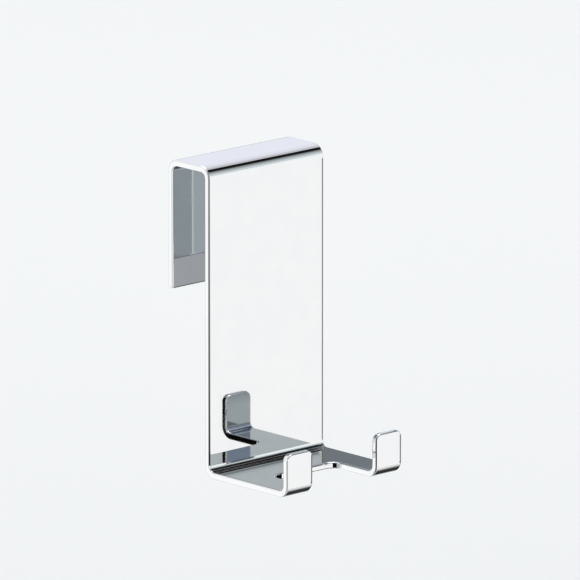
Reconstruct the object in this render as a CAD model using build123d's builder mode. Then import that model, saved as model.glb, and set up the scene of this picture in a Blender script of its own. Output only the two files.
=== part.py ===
from build123d import *
import os

os.makedirs("parts", exist_ok=True)

# A hook for the top edge of a shower screen: one metal strip, folded four times and chrome plated.
# Going along the strip from its back end, it climbs as the short back leg, crosses over the screen's
# edge as the bridge, drops as the long front plate, comes forward as the shelf, and ends in two prongs
# that turn up as tabs.
# X runs across the strip, the front looks along -Y, and +Z is up. The origin is the middle of the seat,
# the underside of the bridge, where the hook rests on the screen's edge.

# Strip
strip_width = 40.0
thickness = 1.75
bend_radius = 1.5
edge_radius = 0.45

# Clip over the screen
panel_gap = 12.0
leg_drop = 32.25
leg_corner_radius = 0.8

# Plate, shelf and tabs
overall_height = 81.5
hook_reach = 29.25
tab_height = 11.5
tab_corner_radius = 1.8

# Notch between the prongs
prong_width = 8.9
notch_setback = 13.4
notch_corner_radius = 3.0

# Places that follow from the sizes
plate_front = -panel_gap / 2 - thickness
tab_front = plate_front - hook_reach
shelf_underside = thickness - overall_height
tab_top = shelf_underside + tab_height
leg_middle = panel_gap / 2 + thickness / 2
bridge_middle = thickness / 2
plate_middle = plate_front + thickness / 2
shelf_middle = shelf_underside + thickness / 2
tab_middle = tab_front + thickness / 2
notch_back = plate_front - notch_setback
notch_width = strip_width - 2 * prong_width


def is_sharp(edge):
    """Tell an edge where two faces meet at an angle from a seam where they run on smoothly."""
    middle = edge.position_at(0.5)
    sides = [face for face in hook.faces() if any(edge.is_same(rim) for rim in face.edges())]
    first, second = [face.normal_at(middle) for face in sides]
    return first.get_angle(second) > 1


with BuildPart() as hook:
    # The folded strip, seen from its side and drawn along the middle of its thickness
    with BuildSketch(Plane.YZ):
        with BuildLine():
            FilletPolyline(
                (leg_middle, -leg_drop),
                (leg_middle, bridge_middle),
                (plate_middle, bridge_middle),
                (plate_middle, shelf_middle),
                (tab_middle, shelf_middle),
                (tab_middle, tab_top),
                radius=bend_radius + thickness / 2,
            )
        trace(line_width=thickness)
    extrude(amount=strip_width / 2, both=True)

    # The notch, open at the front, splits the shelf's front and the turned-up end into two prongs
    with BuildSketch(Plane.XY.offset(shelf_underside)):
        with Locations((0, notch_back)):
            Rectangle(notch_width, notch_back - tab_front, align=(Align.CENTER, Align.MAX))
        back_corners = vertices().group_by(Axis.Y)[-1]
        fillet(back_corners, radius=notch_corner_radius)
    extrude(amount=tab_height, mode=Mode.SUBTRACT)

    # Rounded corners at the tops of the tabs and at the foot of the leg
    tab_tops = hook.faces().filter_by(Axis.Z).group_by(Axis.Y)[0]
    fillet(tab_tops.edges().filter_by(Axis.Y), radius=tab_corner_radius)
    leg_foot = hook.faces().filter_by(Axis.Z).sort_by(Axis.Y)[-1]
    fillet(leg_foot.edges().filter_by(Axis.Y), radius=leg_corner_radius)

    # Every edge of the strip is eased before plating
    fillet(hook.edges().filter_by(is_sharp), radius=edge_radius)

hook.part.label = "hook"
export_step(hook.part, "parts/hook.step")
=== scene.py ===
from math import cos, radians, sin

import bpy
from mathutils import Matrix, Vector


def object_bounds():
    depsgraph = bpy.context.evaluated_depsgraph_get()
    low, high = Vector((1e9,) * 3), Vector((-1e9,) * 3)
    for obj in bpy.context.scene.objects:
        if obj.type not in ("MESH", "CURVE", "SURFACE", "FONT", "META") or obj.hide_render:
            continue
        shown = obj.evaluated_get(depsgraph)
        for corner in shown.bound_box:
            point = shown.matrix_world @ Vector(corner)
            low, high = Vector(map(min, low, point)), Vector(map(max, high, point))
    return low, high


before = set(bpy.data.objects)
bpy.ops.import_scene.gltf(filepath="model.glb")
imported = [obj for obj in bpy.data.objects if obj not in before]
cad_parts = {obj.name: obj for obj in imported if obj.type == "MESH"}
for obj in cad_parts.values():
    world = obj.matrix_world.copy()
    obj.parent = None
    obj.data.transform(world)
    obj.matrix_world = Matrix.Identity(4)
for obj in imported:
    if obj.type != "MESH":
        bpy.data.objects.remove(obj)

cad_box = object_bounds()
scene = bpy.context.scene
scene.view_settings.view_transform = "Standard"


# Places on the hook, from its box and the sizes of its strip

mm = 0.001
thickness = 1.75 * mm
edge_radius = 0.45 * mm
clip_gap = 12 * mm
prong_width = 8.9 * mm
notch_setback = 13.4 * mm
tab_height = 11.5 * mm

lowest, highest = cad_box
left, tab_front, underside = lowest
right = highest[0]
top = highest[2]
gap_half = clip_gap / 2
plate_front = -gap_half - thickness
shelf_top = underside + thickness
tab_top = underside + tab_height
prong_side = right - prong_width
notch_back = plate_front - notch_setback


# Helpers for node trees


def add_node(tree, kind, values=None, **settings):
    """Add a node, set its properties, and set or link its inputs by name or number."""
    node = tree.nodes.new(kind)
    for name, value in settings.items():
        setattr(node, name, value)
    for name, value in (values or {}).items():
        if isinstance(value, bpy.types.NodeSocket):
            tree.links.new(value, node.inputs[name])
        else:
            node.inputs[name].default_value = value
    return node


def add_ramp(tree, factor, stops):
    """Add a colour ramp over the stops, each a place and a colour, and return its colour."""
    node = add_node(tree, "ShaderNodeValToRGB", {"Fac": factor})
    ramp = node.color_ramp
    for place, _ in stops[1:-1]:
        ramp.elements.new(place)
    for element, (place, colour) in zip(ramp.elements, stops):
        element.position = place
        element.color = (*colour, 1)
    return node.outputs["Color"]


def mix_colours(tree, factor, first, second):
    """Mix two colours, each a socket or a colour, and return the result."""
    node = add_node(tree, "ShaderNodeMix", {"Factor": factor}, data_type="RGBA")
    for number, value in ((6, first), (7, second)):
        if isinstance(value, bpy.types.NodeSocket):
            tree.links.new(value, node.inputs[number])
        else:
            node.inputs[number].default_value = (*value, 1)
    return node.outputs[2]


def smooth_step(tree, value, low, high):
    """Go smoothly from 0 where value is low to 1 where it is high."""
    node = add_node(
        tree,
        "ShaderNodeMapRange",
        {"Value": value, "From Min": low, "From Max": high, "To Min": 0.0, "To Max": 1.0},
        interpolation_type="SMOOTHSTEP",
    )
    return node.outputs["Result"]


# Studio: a tent of light and dark zones for the mirror finish


def grey(level):
    return (level, level, level)


def cool(level):
    """A grey with the faint blue-green of daylight."""
    return (0.90 * level, 0.98 * level, level)


def spread(stops):
    """Bring stops placed from -1 to 1 onto a ramp, which goes from 0 to 1."""
    return [((place + 1) / 2, colour) for place, colour in stops]


world = bpy.data.worlds.new("studio")
scene.world = world
world.use_nodes = True
studio = world.node_tree
studio.nodes.clear()
direction = add_node(studio, "ShaderNodeTexCoord").outputs["Generated"]
split = add_node(studio, "ShaderNodeSeparateXYZ", {"Vector": direction})


def along(axis):
    """How far the direction points along an axis, brought from -1 and 1 to 0 and 1."""
    half = add_node(
        studio,
        "ShaderNodeMath",
        {0: split.outputs[axis], 1: 0.5, 2: 0.5},
        operation="MULTIPLY_ADD",
    )
    return half.outputs["Value"]


def add_patch(colour, aim, inner, outer, patch):
    """Lay a round patch, soft from its inner to its outer angle in degrees, over the tent's colour."""
    near = add_node(
        studio,
        "ShaderNodeVectorMath",
        {0: direction, 1: Vector(aim).normalized()},
        operation="DOT_PRODUCT",
    ).outputs["Value"]
    factor = smooth_step(studio, near, cos(radians(outer)), cos(radians(inner)))
    return mix_colours(studio, factor, colour, patch)


white = grey(1.05)
lavender = (0.935, 0.95, 1.05)

# Colours by height on the tent's front half and back half
front_stops = [
    (-0.80, grey(0.62)),
    (-0.62, grey(0.80)),
    (-0.45, grey(1.14)),
    (0.05, grey(1.14)),
    (0.16, cool(1.10)),
    (0.225, cool(1.00)),
    (0.238, cool(0.62)),
    (0.2465, cool(0.62)),
    (0.2480, cool(0.665)),
    (0.265, cool(0.68)),
    (0.280, cool(0.88)),
    (0.40, cool(0.64)),
    (0.50, cool(0.42)),
    (0.60, cool(0.32)),
    (0.80, cool(0.36)),
    (0.92, white),
]
back_stops = [
    (-0.80, grey(0.55)),
    (-0.60, grey(0.70)),
    (-0.45, grey(0.90)),
    (-0.30, grey(1.22)),
    (-0.20, grey(1.22)),
    (0.10, white),
    (1.00, white),
]

# How much of the back half shows, from front to back
behind_stops = [
    (-0.055, grey(0.0)),
    (-0.035, grey(0.55)),
    (0.10, grey(0.74)),
    (0.28, grey(0.90)),
    (0.45, grey(1.0)),
]
height = along("Z")
depth = along("Y")
front_colour = add_ramp(studio, height, spread(front_stops))
back_colour = add_ramp(studio, height, spread(back_stops))
behind = add_ramp(studio, depth, spread(behind_stops))

# A dark opening high at the front right, and lavender high at the back right
front_colour = add_patch(front_colour, aim=(0.663, -0.22, 0.715), inner=10, outer=20, patch=grey(0.01))
back_colour = add_patch(back_colour, aim=(0.60, 0.60, 0.45), inner=32, outer=50, patch=lavender)
tent = mix_colours(studio, behind, front_colour, back_colour)

# Dark at the right, bright low at the back left, grey behind, dark low at the right, and grey at the left
tent = add_patch(tent, aim=(0.89, 0.39, -0.23), inner=12, outer=36, patch=cool(0.22))
tent = add_patch(tent, aim=(-0.36, 0.71, -0.60), inner=20, outer=38, patch=grey(1.22))
tent = add_patch(tent, aim=(0.15, 0.95, -0.25), inner=8, outer=40, patch=(0.68, 0.70, 0.72))
tent = add_patch(tent, aim=(0.66, 0.10, -0.74), inner=12, outer=32, patch=grey(0.04))
tent = add_patch(tent, aim=(-1.0, -0.05, -0.25), inner=10, outer=32, patch=cool(0.55))
background = add_node(studio, "ShaderNodeBackground", {"Color": tent, "Strength": 1.0})
add_node(studio, "ShaderNodeOutputWorld", {"Surface": background.outputs["Background"]})


# Chrome plate


def make_chrome():
    """A mirror finish with a faint haze and a slight ripple."""
    material = bpy.data.materials.new("chrome")
    material.use_nodes = True
    tree = material.node_tree
    tree.nodes.clear()
    place = add_node(tree, "ShaderNodeTexCoord").outputs["Object"]
    haze = add_node(
        tree,
        "ShaderNodeTexNoise",
        {"Vector": place, "Scale": 160.0, "Detail": 4.0, "Roughness": 0.55},
    ).outputs["Fac"]
    haze_low = 0.3
    haze_high = 0.7
    tint = add_ramp(tree, haze, [(haze_low, (0.775, 0.78, 0.788)), (haze_high, (0.797, 0.80, 0.806))])
    polish = add_node(
        tree,
        "ShaderNodeMapRange",
        {"Value": haze, "From Min": haze_low, "From Max": haze_high, "To Min": 0.015, "To Max": 0.045},
    ).outputs["Result"]
    ripple = add_node(
        tree,
        "ShaderNodeTexNoise",
        {"Vector": place, "Scale": 90.0, "Detail": 2.0, "Roughness": 0.5},
    ).outputs["Fac"]
    bump = add_node(
        tree,
        "ShaderNodeBump",
        {"Height": ripple, "Strength": 0.3, "Distance": 0.02 * mm},
    ).outputs["Normal"]
    shader = add_node(
        tree,
        "ShaderNodeBsdfPrincipled",
        {"Base Color": tint, "Metallic": 1.0, "Roughness": polish, "Normal": bump},
    )
    add_node(tree, "ShaderNodeOutputMaterial", {"Surface": shader.outputs["BSDF"]})
    return material


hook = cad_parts["hook"]
hook.material_slots[0].material = make_chrome()


# Floor, well below the hook, which hangs

floor_reach = 6.0
floor_level = -140 * mm


def make_floor():
    material = bpy.data.materials.new("floor")
    material.use_nodes = True
    shader = material.node_tree.nodes["Principled BSDF"]
    shader.inputs["Base Color"].default_value = (0.88, 0.885, 0.875, 1)
    shader.inputs["Roughness"].default_value = 0.9
    shader.inputs["Specular IOR Level"].default_value = 0.0
    corners = [
        (-floor_reach, -floor_reach, floor_level),
        (floor_reach, -floor_reach, floor_level),
        (floor_reach, floor_reach, floor_level),
        (-floor_reach, floor_reach, floor_level),
    ]
    mesh = bpy.data.meshes.new("floor")
    mesh.from_pydata(corners, [], [(0, 1, 2, 3)])
    mesh.materials.append(material)
    floor = bpy.data.objects.new("floor", mesh)
    scene.collection.objects.link(floor)
    floor.visible_glossy = False


make_floor()


# Cards that only the mirror finish sees, each from its front: painted reflections and painted shade for the
# chrome


def add_card(name, corners, stops, film=False):
    """Hang a flat card in the studio, shaded over its height by the stops. A film lets light through."""
    material = bpy.data.materials.new(name)
    material.use_nodes = True
    tree = material.node_tree
    tree.nodes.clear()
    place = add_node(tree, "ShaderNodeTexCoord").outputs["Generated"]
    rise = add_node(tree, "ShaderNodeSeparateXYZ", {"Vector": place}).outputs["Z"]
    colour = add_ramp(tree, rise, stops)
    if film:
        face = add_node(tree, "ShaderNodeBsdfTransparent", {"Color": colour}).outputs["BSDF"]
    else:
        face = add_node(tree, "ShaderNodeEmission", {"Color": colour, "Strength": 1.0}).outputs["Emission"]
    clear = add_node(tree, "ShaderNodeBsdfTransparent").outputs["BSDF"]
    rear = add_node(tree, "ShaderNodeNewGeometry").outputs["Backfacing"]
    surface = add_node(tree, "ShaderNodeMixShader", {0: rear, 1: face, 2: clear})
    add_node(tree, "ShaderNodeOutputMaterial", {"Surface": surface.outputs["Shader"]})
    mesh = bpy.data.meshes.new(name)
    mesh.from_pydata(corners, [], [range(first, first + 4) for first in range(0, len(corners), 4)])
    mesh.materials.append(material)
    card = bpy.data.objects.new(name, mesh)
    scene.collection.objects.link(card)
    card.visible_camera = False
    card.visible_diffuse = False
    card.visible_shadow = False


def facing_side(x, y_start, y_end, low, high):
    """Corners of an upright card at one x. It faces +X if y grows from start to end, and else -X."""
    return [(x, y_start, low), (x, y_end, low), (x, y_end, high), (x, y_start, high)]


def facing_front(y, x_start, x_end, low, high):
    """Corners of an upright card at one y. It faces -Y if x grows from start to end, and else +Y."""
    return [(x_start, y, low), (x_end, y, low), (x_end, y, high), (x_start, y, high)]


def facing_down(z, x_low, x_high, y_low, y_high):
    """Corners of a level card that faces down."""
    return [(x_low, y_low, z), (x_low, y_high, z), (x_high, y_high, z), (x_high, y_low, z)]


def sloping(x_start, x_end, first, second):
    """Corners of a card that spans the strip's width between two lines, each a y and a z."""
    return [(x_start, *first), (x_end, *first), (x_end, *second), (x_start, *second)]


def even(colour):
    return [(0.0, colour), (1.0, colour)]


black = grey(0.003)
slate = (0.28, 0.34, 0.43)
edge_shade = [(0.0, grey(0.02)), (0.25, grey(0.15)), (1.0, grey(0.36))]

# A card out to the right, a painted reflection, which the tops of the shelf and the right prong mirror
side_card_place = 2 * mm
side_card_far = right + 140 * mm
side_card_low = -130 * mm
side_card_step = -50 * mm
side_card_high = -20 * mm
add_card(
    "side_card",
    facing_front(y=side_card_place, x_start=right + 8.5 * mm, x_end=side_card_far, low=side_card_low, high=side_card_step),
    [
        (0.0, (0.48, 0.54, 0.55)),
        (0.575, (0.46, 0.52, 0.53)),
        (0.675, (0.18, 0.205, 0.225)),
        (0.79, (0.19, 0.215, 0.235)),
        (0.89, slate),
        (1.0, slate),
    ],
)
add_card(
    "side_top_card",
    facing_front(y=side_card_place, x_start=right + 16 * mm, x_end=side_card_far, low=side_card_step, high=side_card_high),
    even(slate),
)

# Light grey over the right side of the gap between the plate and the leg: a painted reflection in the inner
# faces there
add_card(
    "gap_card",
    facing_side(
        x=right + 0.3 * mm,
        y_start=gap_half + 0.2 * mm,
        y_end=-gap_half - 0.2 * mm,
        low=-37.2 * mm,
        high=0.0,
    ),
    even((0.60, 0.68, 0.71)),
)

# Shades along the plate's eased right and left edges
plate_low = shelf_top + 1.5 * mm
plate_high = top + 0.25 * mm
edge_back = plate_front + edge_radius
shade_left = left - 0.2 * mm
shade_front = plate_front - 0.35 * mm
add_card(
    "right_edge_card",
    facing_side(
        x=right + 0.1 * mm,
        y_start=edge_back,
        y_end=plate_front - 0.8 * mm,
        low=plate_low,
        high=-2 * mm,
    ),
    even(grey(0.2)),
)
add_card(
    "left_edge_card",
    facing_side(x=shade_left, y_start=shade_front, y_end=edge_back, low=plate_low, high=plate_high),
    edge_shade,
)
add_card(
    "left_front_card",
    facing_front(y=shade_front, x_start=left + 0.5 * mm, x_end=shade_left, low=plate_low, high=plate_high),
    edge_shade,
)

# Painted dark reflections: black beside the right tab's inner side, and grey beside the left tab's outer
# side
tab_card_low = shelf_top - 0.5 * mm
add_card(
    "right_tab_card",
    facing_side(
        x=prong_side - 0.05 * mm,
        y_start=tab_front - 1.2 * mm,
        y_end=tab_front + 0.1 * mm,
        low=tab_card_low,
        high=tab_top - 0.75 * mm,
    ),
    even(black),
)
add_card(
    "left_tab_card",
    facing_side(
        x=left - 0.05 * mm,
        y_start=tab_front - 1.0 * mm,
        y_end=tab_front + 0.3 * mm,
        low=tab_card_low,
        high=tab_top - 1.25 * mm,
    ),
    even(grey(0.45)),
)


def make_blind():
    """Hang fine black slats beside the right prong's inner side, turned towards the prong and the plate: a
    painted black reflection along that side and its image in the plate.
    """
    slat_count = 128
    tab_slat_count = 24
    slat_step = 0.12 * mm
    slat_depth = 0.063 * mm
    blind_front = tab_front - 1.1 * mm
    near = prong_side - 0.05 * mm
    far = prong_side - 0.11 * mm
    corners = []
    for row in range(slat_count):
        foot = blind_front + slat_step * row
        tip = foot + slat_depth
        if row < tab_slat_count:
            low = underside + 0.05 * mm
            high = tab_top + 0.05 * mm
        else:
            low = underside - 0.25 * mm
            high = shelf_top + 0.1 * mm
        corners += [(near, foot, low), (far, tip, low), (far, tip, high), (near, foot, high)]
    add_card("prong_reflection_blind", corners, even(black))


make_blind()

# Painted reflections: a bright card out to the left of the tabs, and a dark one out to the right
add_card(
    "bright_card",
    facing_down(
        z=tab_top + 2.25 * mm,
        x_low=left - 32 * mm,
        x_high=left - 12 * mm,
        y_low=tab_front - 9 * mm,
        y_high=tab_front + 11 * mm,
    ),
    even(grey(1.77)),
)
add_card(
    "tab_foot_card",
    facing_down(
        z=shelf_top + 24 * mm,
        x_low=right + 11 * mm,
        x_high=right + 25 * mm,
        y_low=tab_front - 1.5 * mm,
        y_high=tab_front + 13.5 * mm,
    ),
    even((0.11, 0.155, 0.21)),
)

# Painted shade: black in the notch, near its back corners, seen only in the chrome's reflections
add_card(
    "corner_shade_card",
    facing_side(
        x=prong_side - 1.1 * mm,
        y_start=notch_back - 1.65 * mm,
        y_end=notch_back - 0.55 * mm,
        low=underside - 0.45 * mm,
        high=shelf_top + 0.2 * mm,
    ),
    even(black),
)
add_card(
    "hole_shade_card",
    facing_side(
        x=-prong_side + 4.1 * mm,
        y_start=notch_back - 0.15 * mm,
        y_end=notch_back - 1.25 * mm,
        low=underside - 0.65 * mm,
        high=shelf_top + 0.1 * mm,
    ),
    even(black),
)

# A light strip above and behind the right tab, which its top mirrors
add_card(
    "tab_top_card",
    facing_front(
        y=tab_front + 7 * mm,
        x_start=prong_side + 3.4 * mm,
        x_end=right + 7.5 * mm,
        low=tab_top + 1.35 * mm,
        high=tab_top + 2.75 * mm,
    ),
    even((0.80, 0.87, 0.93)),
)

# Shades along the right edge of each tab
for name, tab_side in (("right_tab_edge_card", right), ("left_tab_edge_card", -prong_side)):
    add_card(
        name,
        facing_side(
            x=tab_side + 0.1 * mm,
            y_start=tab_front + 0.5 * mm,
            y_end=tab_front - 0.8 * mm,
            low=shelf_top + 0.5 * mm,
            high=tab_top - 1.25 * mm,
        ),
        even(grey(0.2)),
    )

# A film over the fold at the plate's foot: painted shade in the fold, darker towards its low front side
add_card(
    "foot_shade_film",
    sloping(
        x_start=right - 0.2 * mm,
        x_end=left + 0.2 * mm,
        first=(plate_front - 1.89 * mm, shelf_top + 2.12 * mm),
        second=(plate_front - 0.21 * mm, shelf_top + 2.67 * mm),
    ),
    [
        (0.0, grey(0.20)),
        (0.08, grey(0.25)),
        (0.28, grey(0.60)),
        (0.52, grey(0.80)),
        (0.75, grey(0.89)),
        (1.0, grey(0.96)),
    ],
    film=True,
)

# A grey card above the plate's top fold: a painted reflection, which thins the dark line there
add_card(
    "top_bend_card",
    sloping(
        x_start=right + 8 * mm,
        x_end=left - 1 * mm,
        first=(plate_front + 0.26 * mm, top + 3.6 * mm),
        second=(plate_front + 1.05 * mm, top + 3.15 * mm),
    ),
    even((0.66, 0.65, 0.70)),
)


# Lamp: one soft box overhead


def make_lamp():
    lamp_width = 1.2
    data = bpy.data.lights.new("softbox", "AREA")
    data.shape = "RECTANGLE"
    data.size = lamp_width
    data.size_y = lamp_width
    data.energy = 7.5
    lamp = bpy.data.objects.new("softbox", data)
    lamp.location = (0.4, 0.5, 1.4)
    aim = Vector((0.3, 0.35, floor_level)) - lamp.location
    lamp.rotation_euler = aim.to_track_quat("-Z", "Y").to_euler()
    scene.collection.objects.link(lamp)


make_lamp()


# Camera: a very long lens at the front left, a little above the hook


def make_camera():
    azimuth = radians(-42.95)
    elevation = radians(13.48)
    distance = 3.0
    shift_across = 5.97 * mm
    shift_up = 4.71 * mm
    middle = Vector((0, plate_front, -38.25 * mm))
    forward = Vector((-sin(azimuth) * cos(elevation), cos(azimuth) * cos(elevation), -sin(elevation)))
    across = Vector((cos(azimuth), sin(azimuth), 0))
    upward = across.cross(forward)
    aim = middle + shift_across * across + shift_up * upward
    data = bpy.data.cameras.new("camera")
    data.sensor_width = 36.0
    data.lens = 727.2
    camera = bpy.data.objects.new("camera", data)
    camera.location = aim - distance * forward
    camera.rotation_euler = forward.to_track_quat("-Z", "Y").to_euler()
    scene.collection.objects.link(camera)
    scene.camera = camera


make_camera()
